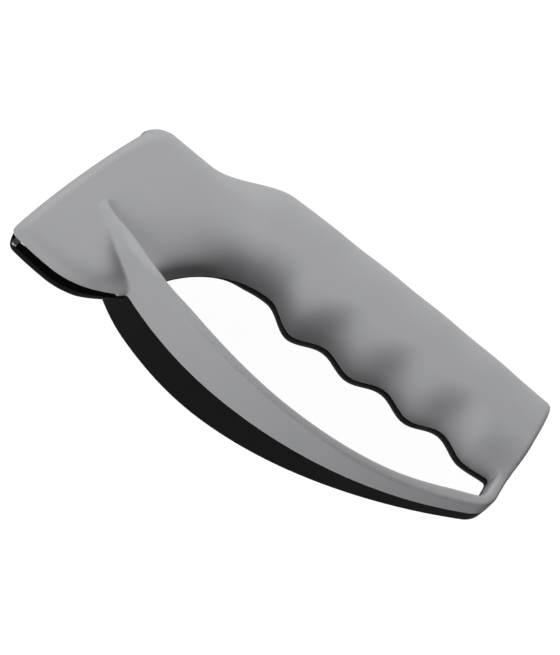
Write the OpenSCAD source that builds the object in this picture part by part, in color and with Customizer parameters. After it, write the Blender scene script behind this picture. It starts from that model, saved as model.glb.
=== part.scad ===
// Pull through knife sharpener: two moulded half shells with a finger guard,
// closed round a small cutter cartridge at the nose.
// The origin is the bottom of the cutting notch. +X runs from the notch to the
// butt of the grip, along the blade that is pulled through; +Y points from the
// blade line to the back of the grip; z = 0 is the joint of the two shells,
// with the grey shell above it and the black shell below.

/* [Overall] */
// From the cutting notch back to the butt of the grip
reach = 145.2; // [138:0.1:155]
// From the cutting notch forward to the nose
nose_ahead = 3.5; // [2.8:0.1:4]
// From the blade line up to the back of the grip
back_height = 66.7; // [64:0.1:72]
// How far the butt leans forward at the back of the grip
butt_lean = 2.6; // [0:0.2:4]
// How far the back of the grip falls at each end of its crown
back_bow = 0.4; // [0:0.1:0.8]
// Where the back of the grip is highest
back_crown = 95; // [85:1:105]
// Half of the thickness of the grip
grip_half = 12; // [10.5:0.25:13]

/* [Head] */
// From the blade line up to the top edge of the head
head_height = 56.3; // [54:0.1:60]
// Half of the thickness of the head
head_half = 8; // [7.6:0.1:9]
// How far the head's front edge leans back at its top
front_lean = 10; // [7:0.5:12]
// Radius of the head's top front corner
head_corner = 8.5; // [6:0.5:11]
// How far the top edge of the head falls towards the neck
head_fall = 0.9; // [0:0.1:1.2]
// Rounding of the head's front and top edges
head_round = 4; // [2.5:0.25:6]
// Radius of the corner between the front edge and the lips
nose_round = 1.6; // [0.8:0.1:2]
// How far the lips reach below the blade line
lip_drop = 2.6; // [2.2:0.1:3]
// Where the lips start to rise towards the guard
lip_flat_end = 12; // [10:0.5:15]
// Where the lips end at the guard
lip_end = 33; // [31:0.5:34]
// Rise of the lips where they end
lip_rise = 11; // [9:0.25:11.5]
// Half of the thickness of the head at its lips
lip_half = 3.4; // [3.3:0.1:4.2]
// Half of the thickness of the head where its lips end
lip_end_half = 2.7; // [2.4:0.1:3.4]
// Rounding of the head towards its lips
lip_round = 6; // [4:0.25:8]
// Rounding of the head where it runs into the guard
root_round = 3; // [2:0.25:4]

/* [Finger opening] */
// Where the back starts to rise from the head
neck_start = 24.5; // [23:0.5:30]
// Where the back reaches the full height
neck_end = 53; // [48:0.5:56]
// Where the index finger's groove is deepest
index_place = 60.5; // [58:0.5:63]
// From the blade line to the first finger crest
crest_height = 31.6; // [30:0.2:33]
// Rise from the first finger crest to the last one
crest_rise = 3; // [0:0.1:4]
// From crest to crest, one finger
finger_pitch = 20.2; // [19:0.1:21]
// Depth of a finger groove
finger_depth = 3; // [1:0.1:4]
// Depth of the index finger's groove
index_depth = 4.6; // [3:0.1:6]
// From the index finger's groove to the first crest
index_run = 12.4; // [11:0.1:14]
// Length of the round front end of the opening
opening_run = 24; // [22:0.5:26]
// Height of the round front end of the opening
opening_rise = 23; // [20:0.5:25]

/* [Guard] */
// Gap from the blade line to the guard
guard_gap = 1; // [0.5:0.1:2]
// Where the guard comes nearest to the blade line
guard_low = 69; // [66:0.5:72]
// Radius of the guard in front of that place
guard_front_radius = 104; // [96:1:112]
// Radius of the guard behind that place
guard_rear_radius = 132; // [124:1:140]
// Radius of the corner where the guard turns up to the butt
guard_corner = 5; // [4.5:0.1:6]
// Thickness of the guard
guard_wall = 4; // [3.4:0.1:4.2]
// Half of the width of the guard at its widest
guard_half = 17.7; // [15:0.1:20]
// Half of the width of the guard at the butt
guard_end_half = 5.2; // [4.4:0.1:6]
// Where the guard starts to narrow towards the butt
guard_wide = 50; // [44:0.5:54]
// Where the fin that the guard makes on the head has its full width
fin_root = 38; // [35:0.5:41]
// Where the fin starts on the head
fin_tip = 8; // [7:0.5:10]
// Thickness of the fin at its tip
fin_tip_wall = 1.4; // [1:0.1:2]
// Radius on the edges of the guard
guard_edge = 0.7; // [0.3:0.05:1]

/* [Shells] */
// Wall of the shells
wall = 2.4; // [2:0.1:2.8]
// Radius on the rim of the butt
rim = 1.2; // [0.6:0.1:1.6]
// From the blade line to the hollow in the head
hollow_foot = 19; // [18:0.5:22]

/* [Blade slot] */
// Half of the angle between the walls of the slot
slot_angle = 23; // [20:0.5:25]
// From the blade line up to the bottom of the slot
slot_depth = 3.7; // [3:0.1:4.2]
// Half of the width of the flat bottom of the slot
slot_floor = 0.25; // [0.1:0.05:0.5]

/* [Cutters] */
// Half of the angle of the cutting notch
notch_angle = 20; // [17:0.5:23]
// Length of a carbide cutter
cutter_len = 10; // [9:0.25:10.25]
// Width of a carbide cutter
cutter_wid = 3; // [2.6:0.1:3.2]
// Thickness of a carbide cutter
cutter_thick = 1.6; // [1.2:0.1:1.8]
// How far a cutter reaches past the bottom of the notch, along itself
cutter_out = 1.6; // [1.2:0.1:1.8]
// Gap between the two cutters
cutter_gap = 0.2; // [0.1:0.05:0.4]

/* [Cutter holder] */
// Length of the holder along the blade
holder_len = 10.2; // [9.6:0.1:11]
// Height of the holder
holder_high = 7.8; // [7.4:0.1:8]
// From the blade line up to the foot of the holder
holder_foot = 1.5; // [1.2:0.1:1.8]
// Half of the thickness of the holder
holder_half = 4; // [3.8:0.1:4.2]
// Clearance round the holder and the cutters
fit_gap = 0.1; // [0.05:0.01:0.15]
// Radius of a dowel pin
pin_r = 1.25; // [1:0.05:1.4]
// How far a dowel pin reaches into each shell
pin_hold = 1.6; // [1.2:0.1:1.8]
// Distance between the two dowel pins
pin_pitch = 3.6; // [3.2:0.1:3.8]

/* [Shell screws] */
// Radius of a screw's thread
screw_r = 1.5; // [1.25:0.05:1.6]
// Length of a screw under its head
screw_len = 10; // [9:0.5:10]
// Radius of a screw's head
screw_head_r = 2.75; // [2.4:0.05:2.9]
// Height of a screw's head
screw_head_high = 1.8; // [1.5:0.1:2]
// Depth of the black shell's seat below the joint of the shells
seat_depth = 4; // [3.8:0.1:4.4]
// Wall of a screw boss
boss_wall = 1.6; // [1.2:0.1:2]
// Clearance round a screw's shank and head
screw_gap = 0.25; // [0.15:0.05:0.35]
// Radius of the drive recess in a screw's head
drive_r = 1.1; // [0.8:0.05:1.3]
// Depth of the drive recess
drive_deep = 1; // [0.6:0.1:1.2]

/* [Hidden] */
$fn = 48;

// What every cut runs past the face that it opens
overrun = 1;
// Stations along the head, round the neck, along the grip and in the hollow
head_rows = 12;
neck_rows = 16;
grip_rows = 30;
hollow_rows = 22;
// Points in a section, and stations on each half of the guard
section_points = 14;
guard_rows = 18;
round_points = 2;
corner_points = 6;

// Screw places, as shares of the reach and of the back's height
screw_shares = [[0.19, 0.36], [0.1, 0.7], [0.35, 0.79], [0.62, 0.77], [0.92, 0.76]];
// Where the head's lips, corner and neck lie on the station scale of 0 to 3
lip_share = 0.4;
root_share = 0.25;
corner_share = 1.25;
swell_share = 1.1;
// Lean of the front edge at its corner, as a share of its mean lean
corner_lean_share = 1.4;
// Where the front end of the opening passes from the head to the neck
opening_turn = 128;
// Full finger grooves behind the first crest
finger_grooves = 3;
// How much of a finger groove is left between the last crest and the butt
last_groove_share = 0.35;
// Fullness of the section's rounding, 2 for an ellipse
section_power = 2.3;

first_crest = index_place + index_run;
groove_top = crest_height + index_depth;
opening_y = groove_top - opening_rise;
screw_places = [for (p = screw_shares) [p[0] * reach, p[1] * back_height, 0]];
well_r = screw_head_r + screw_gap + boss_wall;
boss_r = screw_r + boss_wall + screw_gap;
holder_x = -cutter_gap / 2 - cutter_thick;
pin_x = (cutter_thick + cutter_gap / 2 + holder_x + holder_len - pin_pitch) / 2;
pin_y = holder_foot + holder_high / 2;

// The guard's path in the joint plane, by its angle from its lowest place
guard_corner_angle = asin((reach - guard_corner - guard_low) / (guard_rear_radius - guard_corner));
guard_corner_y = guard_gap + guard_rear_radius
    - (guard_rear_radius - guard_corner) * cos(guard_corner_angle);
butt_angle = atan(butt_lean / (back_height - guard_corner_y));

function mix(a, b, t) = a + (b - a) * t;
function held(t) = min(max(t, 0), 1);
function ease(t) = let(u = held(t)) u * u * (3 - 2 * u);
function rounding(t) = pow(1 - pow(1 - held(t), section_power), 1 / section_power);

// Outline of the body
function front_x(y) =
    let(t = max(y, 0) / head_height, tuck = 1 - held((y + lip_drop) / nose_round))
    front_lean * t * (1 + t) / 2 - nose_ahead + nose_round * (1 - sqrt(1 - tuck * tuck));
function grip_back_y(x) =
    back_height - back_bow * pow((x - back_crown) / (reach - back_crown), 2);
function back_y(x) =
    mix(head_height - head_fall * held((x - corner_x) / (neck_start - corner_x)),
        grip_back_y(max(x, neck_end)), ease((x - neck_start) / (neck_end - neck_start)));
function butt_x(y) =
    reach - butt_lean * (y - guard_corner_y) / (back_height - guard_corner_y);
function lip_y(x) =
    -lip_drop + lip_rise * pow(held((x - lip_flat_end) / (lip_end - lip_flat_end)), 2);
function groove_y(x) =
    let(k = (x - first_crest) / finger_pitch, deep = k > finger_grooves ? last_groove_share : 1)
    k < 0 ? crest_height + index_depth * (1 - cos(180 * (x - first_crest) / index_run)) / 2
    : crest_height + crest_rise * sin(90 * k / finger_grooves)
        + finger_depth * deep * (1 - cos(360 * k)) / 2;

// The inner edge of the body, past the guard's root, round the opening and over the grooves
function opening_point(angle) =
    [index_place + opening_run * cos(angle), opening_y + opening_rise * sin(angle)];
function inner_edge(u) =
    u < root_share
    ? mix([lip_end, lip_y(lip_end)], opening_point(180), u / root_share)
    : u < 1 ? opening_point(mix(180, opening_turn, (u - root_share) / (1 - root_share)))
    : u < 2 ? opening_point(mix(opening_turn, 90, u - 1))
    : let(x = mix(index_place, butt_x(groove_top), u - 2)) [x, groove_y(x)];

// The outer edge, up the front of the head, round its corner and along the back
corner_y = head_height - head_corner;
corner_angle = 180 - atan(corner_lean_share * front_lean / head_height);
corner_x = front_x(corner_y) - head_corner * cos(corner_angle);
function outer_edge(u) =
    u < 1 ? let(y = mix(-lip_drop, corner_y + head_corner * sin(corner_angle), u)) [front_x(y), y]
    : u < corner_share
    ? let(a = mix(corner_angle, 90, (u - 1) / (corner_share - 1)))
      [corner_x + head_corner * cos(a), corner_y + head_corner * sin(a)]
    : u < 2
    ? let(x = mix(corner_x, index_place, (u - corner_share) / (2 - corner_share))) [x, back_y(x)]
    : let(x = mix(index_place, butt_x(back_height), u - 2)) [x, back_y(x)];

// One point of the body's surface, at station u and share v of the section, set in by inset
function body_point(u, v, inset) =
    let(a = inner_edge(u), b = outer_edge(u), width = norm(b - a),
        swell = ease((u - swell_share) / (2 - swell_share)),
        along = mix(inset, width - inset, v),
        p = mix(a, b, along / width),
        line_y = mix(lip_y(lip_end), -lip_drop, along / width),
        dip = (lip_y(p.x) - line_y) * (1 - ease(u / lip_share)),
        lip_gap = min(u, 1) * corner_y,
        lip_side = mix(lip_half, lip_end_half, held(p.x / lip_end)),
        side = mix(lip_side, mix(head_half, grip_half, swell), rounding(lip_gap / lip_round))
            - inset,
        inner_round = mix(root_round, mix(head_half, width / 2, ease(u / 2)), ease(u)) - inset / 2,
        outer_round = mix(head_round, width / 2, swell) - inset / 2)
    [p.x, p.y + dip, side * rounding((along - inset) / inner_round)
        * rounding((width - inset - along) / outer_round)];
// Stations of the body: the head, the neck and the grip, with the butt's rounded rim
body_stations = concat([for (i = [0:head_rows - 1]) pow(i / head_rows, 2)],
    [for (i = [0:neck_rows - 1]) 1 + i / neck_rows],
    [for (i = [0:grip_rows - 1]) 2 + i / grip_rows * (1 - rim / (reach - index_place))]);
rim_stations = [for (i = [0:round_points])
    let(a = 90 * i / round_points)
    [3 - rim / (reach - index_place) * (1 - sin(a)), rim * (1 - cos(a))]];

// Shares across a section, closer together at its ends, where it is steep
section_shares = [for (i = [0:section_points]) (1 - cos(180 * i / section_points)) / 2];

// A closed solid from rows of points that all start and end on one flat base
module half_form(rows) {
    m = len(rows);
    n = len(rows[0]);
    skin = [for (i = [0:m - 2]) for (j = [0:n - 1])
        let(a = i * n + j, b = i * n + (j + 1) % n)
        each [[a, b, b + n], [a, b + n, a + n]]];
    first_end = [for (j = [1:n - 2]) [0, j + 1, j]];
    last_end = [for (j = [1:n - 2]) let(a = (m - 1) * n) [a, a + j, a + j + 1]];
    polyhedron([for (row = rows) each row], concat(skin, first_end, last_end));
}

function section(u, inset) = [for (v = section_shares) body_point(u, v, inset)];
function feet(row) = [for (p = row) [p.x, p.y, 0]];

module body_half() {
    lips = section(0, 0);
    half_form(concat([feet(lips)], [for (u = body_stations) section(u, 0)],
        [for (s = rim_stations) section(s[0], s[1])]));
}

// The hollow of the body, from above the cutters to the butt's wall
hollow_from = (hollow_foot + lip_drop) / corner_y;
hollow_to = 3 - (guard_wall + wall) / (reach - index_place);
module hollow_half() {
    down = [0, 0, -overrun];
    half_form([for (i = [0:hollow_rows])
        let(row = section(mix(hollow_from, hollow_to, i / hollow_rows), wall))
        concat([row[0] + down], row, [row[section_points] + down])]);
}

// Points along the guard's outer face in the joint plane, each with the angle of its course
fin_angle = asin((fin_tip - guard_low) / guard_front_radius);
guard_stations = concat(
    [for (i = [0:guard_rows - 1]) let(a = mix(fin_angle, 0, i / guard_rows))
        [guard_low + guard_front_radius * sin(a),
         guard_gap + guard_front_radius * (1 - cos(a)), a]],
    [for (i = [0:guard_rows]) let(a = mix(0, guard_corner_angle, i / guard_rows))
        [guard_low + guard_rear_radius * sin(a), guard_gap + guard_rear_radius * (1 - cos(a)), a]],
    [for (i = [1:corner_points])
        let(a = mix(guard_corner_angle, 90 + butt_angle, i / corner_points))
        [reach - guard_corner + guard_corner * sin(a), guard_corner_y - guard_corner * cos(a), a]],
    [[butt_x(groove_top + guard_wall), groove_top + guard_wall, 90 + butt_angle]]);

// Half of the guard's width and its thickness at a place along the part
function guard_side(x) =
    x < fin_root
    ? mix(head_half, guard_half, ease((x - fin_tip) / (fin_root - fin_tip)))
    : mix(guard_end_half, guard_half,
          pow(cos(90 * held((x - guard_wide) / (reach - guard_corner - guard_wide))), 2));
function guard_thick(x) = mix(fin_tip_wall, guard_wall, ease((x - fin_tip) / (fin_root - fin_tip)));

module guard_half_form() {
    half_form([for (s = guard_stations)
        let(side = guard_side(s.x), thick = guard_thick(s.x), inward = [-sin(s[2]), cos(s[2])],
            across = concat([[0, 0]],
                [for (i = [0:round_points]) let(a = 90 * i / round_points)
                    [guard_edge * (1 - cos(a)), side - guard_edge * (1 - sin(a))]],
                [for (i = [0:round_points]) let(a = 90 * i / round_points)
                    [thick - guard_edge * (1 - sin(a)), side - guard_edge * (1 - cos(a))]],
                [[thick, 0]]))
        [for (q = across) [s.x + q[0] * inward.x, s.y + q[0] * inward.y, q[1]]]]);
}

// The groove that the blade slides in, from the nose to the guard
module blade_slot() {
    deep = slot_depth + lip_drop + overrun;
    mouth = slot_floor + deep * tan(slot_angle);
    translate([lip_end, slot_depth, 0])
        rotate([90, 0, -90])
        linear_extrude(lip_end + nose_ahead + overrun)
        polygon([[-slot_floor, 0], [slot_floor, 0], [mouth, -deep], [-mouth, -deep]]);
}

// One carbide bar whose inner edge runs from the bottom of the notch out to the +Z lip
module cutter_bar(gap) {
    rotate([-notch_angle, 0, 0])
        translate([-cutter_thick / 2 - gap, -cutter_out - gap, -gap])
        cube([cutter_thick + 2 * gap, cutter_len + 2 * gap, cutter_wid + 2 * gap]);
}
module at_front() {
    translate([-(cutter_thick + cutter_gap) / 2, 0, 0]) mirror([0, 0, 1]) children();
}
module at_rear() { translate([(cutter_thick + cutter_gap) / 2, 0, 0]) children(); }

module front_cutter() { color([0.62, 0.63, 0.65]) at_front() cutter_bar(0); }
module rear_cutter() { color([0.62, 0.63, 0.65]) at_rear() cutter_bar(0); }

module holder_block(gap) {
    translate([holder_x - gap, holder_foot - gap, -holder_half - gap])
        cube([holder_len + 2 * gap, holder_high + 2 * gap, 2 * (holder_half + gap)]);
}

module pin_places() {
    for (x = [pin_x, pin_x + pin_pitch]) translate([x, pin_y, 0]) children();
}
module pins(extra) {
    half = holder_half + pin_hold + extra;
    pin_places() translate([0, 0, -half]) cylinder(h = 2 * half, r = pin_r);
}
module holder_pins() { color([0.7, 0.7, 0.72]) pins(0); }

module cutter_holder() {
    color([0.12, 0.12, 0.13]) difference() {
        holder_block(0);
        at_front() cutter_bar(0);
        at_rear() cutter_bar(0);
        pins(overrun);
        blade_slot();
    }
}

// A screw points up from its seat in the black shell into the grey shell's boss
module screw() {
    difference() {
        union() {
            cylinder(h = screw_len, r = screw_r);
            translate([0, 0, -screw_head_high]) cylinder(h = screw_head_high, r = screw_head_r);
        }
        translate([0, 0, -screw_head_high - overrun])
            cylinder(h = drive_deep + overrun, r = drive_r, $fn = 6);
    }
}
module shell_screws() {
    color([0.7, 0.7, 0.72]) for (p = screw_places) translate([p.x, p.y, -seat_depth]) screw();
}

// What both shells have in common, on the +Z side, as one moulded form with its screw posts,
// less the wells that are given as children
module shell_half(post_r) {
    resize([0, 0, guard_half]) difference() {
        union() {
            body_half();
            guard_half_form();
        }
        difference() {
            hollow_half();
            for (p = screw_places) translate([p.x, p.y, -2 * overrun])
                cylinder(h = grip_half + 2 * overrun, r = post_r);
        }
        children();
    }
}

// What the cutters, their holder, its pins and the blade take out of both shells
module nose_cuts() {
    blade_slot();
    holder_block(fit_gap);
    at_front() cutter_bar(fit_gap);
    at_rear() cutter_bar(fit_gap);
    pins(0);
}

module grey_shell() {
    color([0.62, 0.62, 0.63]) difference() {
        shell_half(boss_r);
        nose_cuts();
        for (p = screw_places) translate([p.x, p.y, -overrun])
            cylinder(h = screw_len - seat_depth + 2 * overrun, r = screw_r);
    }
}

module black_shell() {
    color([0.09, 0.09, 0.09]) difference() {
        mirror([0, 0, 1]) shell_half(well_r)
            for (p = screw_places) translate([p.x, p.y, seat_depth])
                cylinder(h = guard_half, r = screw_head_r + screw_gap);
        nose_cuts();
        for (p = screw_places) translate([p.x, p.y, -seat_depth - overrun])
            cylinder(h = seat_depth + 2 * overrun, r = screw_r + screw_gap);
    }
}

grey_shell();
black_shell();
cutter_holder();
front_cutter();
rear_cutter();
holder_pins();
shell_screws();
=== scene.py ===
"""Pull through knife sharpener: a grey and a black half shell with a finger guard,
closed round a small cutter cartridge at the nose."""

import math
from itertools import product

import bmesh
import bpy
import numpy as np
from mathutils import Matrix, Vector
from mathutils.geometry import delaunay_2d_cdt


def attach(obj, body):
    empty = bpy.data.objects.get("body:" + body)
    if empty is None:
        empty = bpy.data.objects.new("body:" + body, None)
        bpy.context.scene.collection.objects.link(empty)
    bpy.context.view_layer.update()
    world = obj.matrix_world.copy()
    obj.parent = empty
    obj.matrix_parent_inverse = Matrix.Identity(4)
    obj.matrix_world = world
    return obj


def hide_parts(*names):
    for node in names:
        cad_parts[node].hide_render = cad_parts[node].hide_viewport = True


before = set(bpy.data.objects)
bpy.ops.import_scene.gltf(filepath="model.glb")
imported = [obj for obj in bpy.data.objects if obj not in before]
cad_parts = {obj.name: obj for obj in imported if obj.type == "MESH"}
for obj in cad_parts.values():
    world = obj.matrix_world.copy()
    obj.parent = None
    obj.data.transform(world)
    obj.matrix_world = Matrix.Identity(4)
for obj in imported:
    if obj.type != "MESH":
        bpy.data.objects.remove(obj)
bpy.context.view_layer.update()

scene = bpy.context.scene
MM = 0.001

# Sizes in millimetres. +X runs from the cutting notch to the butt, +Y from the blade line to
# the back of the grip, and z = 0 is the joint of the two shells. A HALF is a reach in z to one
# side, and names with FROM, BY or END are places on X where a size starts or stops to change

# Back, butt and head
REACH, NOSE_AHEAD, BUTT_LEAN = 145.5, 3.8, 2.85
BACK_HEIGHT, BACK_BOW, BACK_CROWN = 66.6, 1.15, 97
HEAD_HEIGHT, HEAD_FALL, FRONT_LEAN, HEAD_CORNER, CORNER_STEEPER = 56.2, 0.25, 10.3, 8.5, 1.4
HEAD_HALF, HEAD_ROUND, NOSE_ROUND, BLACK_NOSE_ROUND = 8, 4, 2.6, 4.4

# Lips of the blade slot
LIP_DROP, LIP_LOWEST, LIP_END, LIP_RISE, LIP_NOSE_RISE = 1.8, 11, 33, 10.7, 0.6
LIP_HALF, LIP_END_HALF, LIP_ROUND, LIP_BEYOND = 3.15, 2.7, 6, 10
LIP_EDGE, LIP_END_EDGE, LIP_EDGE_FROM, LIP_EDGE_BY = 0.3, 4, 18, 26

# Grip, neck and finger grooves
GRIP_HALF, GRIP_ROUND, RIM, BUTT_EDGE = 12, 11.3, 1.8, 0.5
NECK_START, NECK_END, NECK_ROUND, ROOT_ROUND = 25.7, 49.7, 19, 3
INDEX_PLACE, INDEX_DEPTH, INDEX_RUN = 62, 4.95, 10.9
CREST_HEIGHT, CREST_RISE = 31.1, 3.4
FINGER_PITCH, FINGER_DEPTH, FINGER_GROOVES, LAST_GROOVE, GROOVE_GROWTH = 19.95, 3, 3, 0.35, 0.02
OPENING_RUN, OPENING_RISE, OPENING_POWER = 28, 23.1, 1.5

# Powers of the rounding across the grip, higher for a squarer one
SECTION_POWER, ROOT_POWER, INDEX_POWER, HAND_POWER, BLACK_POWER = 2.3, 3.2, 2.6, 1.95, 1.8
ROOT_POWER_END, INDEX_POWER_BY, HAND_POWER_BY = 36, 50, 84

# Directions from the fan's centre in the opening, in degrees above -X, where the swell of the
# grip begins and ends and the rounding at the guard's root begins
FAN_Y, SWELL_FROM, SWELL_TO, ROOT_FROM = 24.4, 14, 64, -25

# Finger guard
GUARD_GAP, GUARD_LOW, GUARD_FRONT, GUARD_REAR, GUARD_CORNER = 1, 69, 104, 132, 7.5
GUARD_HALF, GUARD_END_HALF, GUARD_TAPER, GUARD_EDGE, GUARD_DRAFT = 18.2, 5.9, 1.9, 1, 0.036
FULL_WALL, GUARD_WALL, END_WALL, BUTT_WALL, BUTT_DRAFT = 4.5, 3.65, 4.2, 3.8, 0.1
GUARD_WIDE, GUARD_WALL_BY, END_WALL_FROM, END_WALL_BY, GUARD_NARROW = 49, 85, 115, 135, 144.5

# Fin, and how deep the head's face sinks towards its foot
FIN_TIP, FIN_ROOT, FIN_HIGH, FIN_POWER, BLACK_FIN_POWER = 10.3, 37, 9.4, 1.1, 0.75
FIN_END, FIN_EDGE, FIN_LEAN, FIN_LEAN_END = 0.8, 0.4, 1.2, 26
FIN_TIP_WALL, FIN_WALL, ROOT_WALL, FIN_WALL_BY, ROOT_WALL_BY = 3, 4.7, 3.7, 22, 34
FIN_SINK, SINK_FROM, SINK_BY, SINK_RUN = 2, 15, 31, 8

# Fillets where the fin, the guard's root and the rest of the guard meet the body
FIN_BLEND, ROOT_BLEND, GRIP_BLEND = 0.5, 1.6, 1.2
ROOT_BLEND_FROM, ROOT_BLEND_BY, GRIP_BLEND_FROM, GRIP_BLEND_BY = 20, 45, 60, 100

# Hollow inside, blade slot, cutters and their holder
WALL, HOLLOW_FOOT, HOLLOW_FALL, HOLLOW_FOOT_ROUND, HOLLOW_END_ROUND = 2.4, 19, 4, 2, 1
SLOT_DEPTH, SLOT_FLOOR, SLOT_MOUTH = 6, 1.2, 2.2
NOTCH_ANGLE, CUTTER_LEN, CUTTER_WID, CUTTER_THICK = 20, 9.7, 3, 1.6
FRONT_OUT, REAR_OUT, CUTTER_GAP, CUTTER_BEVEL = 1.6, 0.5, 0.2, 0.15
HOLDER_LEN, HOLDER_HIGH, HOLDER_FOOT, HOLDER_HALF, HOLDER_BEVEL = 10.2, 7.8, 1.5, 4, 0.35
FIT_GAP, PIN_R, PIN_HOLD, PIN_PITCH, PIN_CHAMFER, PIN_TAPER = 0.1, 1.25, 1.6, 3.6, 0.35, 0.6

# Screws
SCREW_PLACES = [(27.6, 24), (14.5, 46.7), (50.8, 52.7), (90, 51.4), (133.6, 50.7)]
SCREW_R, SCREW_LEN, SCREW_HEAD_R, SCREW_HEAD_HIGH, SCREW_STUB = 1.5, 10, 2.75, 1.8, 0.3
SEAT_DEPTH, BOSS_WALL, SCREW_GAP = 4, 1.6, 0.25
THREAD_PITCH, THREAD_DEEP, SCREW_NECK, SCREW_TIP, TIP_SHARE = 1.15, 0.3, 1.2, 1.6, 0.25
DRIVE_R, DRIVE_DEEP, DRIVE_ARM, DOME_FALL, SCREW_TURN = 1.1, 1, 0.62, 0.34, 1.1

# The fine line at the joint, how far a cut runs past its piece, and a bit to keep slopes above 0
SEAM_HIGH, SEAM_DEEP = 0.16, 0.12
OVERRUN, TINY = 1, 1e-4

# Where faces meet at more degrees than this, the edge between them stays sharp
SHARP, SMALL_SHARP = 32, 40

FIRST_CREST = INDEX_PLACE + INDEX_RUN
GROOVE_TOP = CREST_HEIGHT + INDEX_DEPTH
OPENING_Y = GROOVE_TOP - OPENING_RISE
BOSS_R = SCREW_R + BOSS_WALL + SCREW_GAP
WELL_R = SCREW_HEAD_R + SCREW_GAP
HOLDER_X = -CUTTER_GAP / 2 - CUTTER_THICK
PIN_X = (CUTTER_THICK + CUTTER_GAP / 2 + HOLDER_X + HOLDER_LEN - PIN_PITCH) / 2
PIN_Y = HOLDER_FOOT + HOLDER_HIGH / 2
PIN_PLACES = [(PIN_X, PIN_Y), (PIN_X + PIN_PITCH, PIN_Y)]
PIN_HALF = HOLDER_HALF + PIN_HOLD
CORNER_X = REACH - GUARD_CORNER
CORNER_ANGLE = math.asin((CORNER_X - GUARD_LOW) / (GUARD_REAR - GUARD_CORNER))
CORNER_Y = GUARD_GAP + GUARD_REAR - (GUARD_REAR - GUARD_CORNER) * math.cos(CORNER_ANGLE)
BUTT_ANGLE = math.atan(BUTT_LEAN / (BACK_HEIGHT - CORNER_Y))


# The form of the shells, as a distance below which a point is inside

def mix(a, b, t):
    return a + (b - a) * t


def above(t):
    return np.maximum(t, 0)


def ease(t):
    u = np.clip(t, 0, 1)
    return u * u * (3 - 2 * u)


def eased(x, start, end):
    return ease((x - start) / (end - start))


def rounding(t):
    return (1 - (1 - np.clip(t, 0, 1)) ** SECTION_POWER) ** (1 / SECTION_POWER)


def blend_in(a, b, size):
    """The nearer of two distances, with a fillet of about that size between them."""
    return np.minimum(a, b) - above(size - abs(a - b)) ** 2 / (4 * size)


def cut_by(a, b, size):
    """What two distances have in common, with an edge rounded by about that size."""
    return -blend_in(-a, -b, size)


def front_x(y):
    t = above(y) / HEAD_HEIGHT
    return FRONT_LEAN * t * (1 + t) / 2 - NOSE_AHEAD


def grip_back_y(x):
    return BACK_HEIGHT - BACK_BOW * ((x - BACK_CROWN) / (REACH - BACK_CROWN)) ** 2


HEAD_CORNER_ANGLE = math.pi - math.atan(CORNER_STEEPER * FRONT_LEAN / HEAD_HEIGHT)
HEAD_CORNER_Y = HEAD_HEIGHT - HEAD_CORNER
HEAD_CORNER_X = front_x(HEAD_CORNER_Y) - HEAD_CORNER * math.cos(HEAD_CORNER_ANGLE)


def back_y(x):
    fall = HEAD_FALL * np.clip((x - HEAD_CORNER_X) / (NECK_START - HEAD_CORNER_X), 0, 1)
    grip = grip_back_y(np.maximum(x, NECK_END))
    return mix(HEAD_HEIGHT - fall, grip, eased(x, NECK_START, NECK_END))


def groove_y(x):
    k = (x - FIRST_CREST) / FINGER_PITCH
    turn = np.pi * (x - FIRST_CREST) / INDEX_RUN
    first = CREST_HEIGHT + INDEX_DEPTH * (1 - np.cos(turn)) / 2
    growth = np.where(k > FINGER_GROOVES, LAST_GROOVE, 1 + GROOVE_GROWTH * k ** 2)
    rest = (CREST_HEIGHT + CREST_RISE * np.sin(np.pi / 2 * k / FINGER_GROOVES)
            + FINGER_DEPTH * growth * (1 - np.cos(2 * np.pi * k)) / 2)
    return np.where(k < 0, first, rest)


def lip_y(x):
    rise = LIP_RISE * np.clip((x - LIP_LOWEST) / (LIP_END - LIP_LOWEST), 0, 1) ** 2
    nose_rise = LIP_NOSE_RISE * np.clip((LIP_LOWEST - x) / LIP_LOWEST, 0, 2) ** 2
    return rise + nose_rise - LIP_DROP


class Line:
    """A smooth line in the joint plane. depth() tells how far to its inner side points lie."""
    STRIDE = 10

    def __init__(self, points, inner_side):
        self.points = np.array(points, float)
        course = np.gradient(self.points, axis=0)
        course /= np.linalg.norm(course, axis=1)[:, None]
        self.normals = inner_side * np.stack([-course[:, 1], course[:, 0]], 1)

    def nearest_point(self, where):
        """The number of the nearest point: first of every tenth one, then of those round it."""
        every = self.points[::self.STRIDE]
        rough = ((where[:, None] - every) ** 2).sum(2).argmin(1) * self.STRIDE
        near = rough[:, None] + np.arange(-self.STRIDE, self.STRIDE + 1)
        near = np.clip(near, 0, len(self.points) - 1)
        closest = ((where[:, None] - self.points[near]) ** 2).sum(2).argmin(1)
        return near[np.arange(len(where)), closest]

    def depth(self, x, y):
        where = np.stack([x, y], 1)
        nearest = self.nearest_point(where)
        best, depth = np.full(len(where), np.inf), np.zeros(len(where))
        for first in (nearest - 1, nearest):
            first = np.clip(first, 0, len(self.points) - 2)
            start, run = self.points[first], self.points[first + 1] - self.points[first]
            t = np.clip(((where - start) * run).sum(1) / (run ** 2).sum(1), 0, 1)[:, None]
            normal = mix(self.normals[first], self.normals[first + 1], t)
            off = where - start - run * t
            away = (off ** 2).sum(1)
            inward = (off * normal).sum(1) / np.linalg.norm(normal, axis=1)
            depth = np.where(away < best, inward, depth)
            best = np.minimum(away, best)
        return depth


# How far the lines run past the part, and how many points or what step each stretch has
FRONT_FROM, LIPS_FROM, ROOT_SHARE_FROM, LINES_TO, LIPS_TO = -15, -20, -4, 76, 80
FRONT_POINTS, CORNER_POINTS, ROOT_POINTS, ARC_POINTS = 120, 24, 60, 100
BACK_STEP, GROOVE_STEP, LIP_STEP, PAST_LIP_STEP = 0.5, 0.4, 0.4, 1


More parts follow.
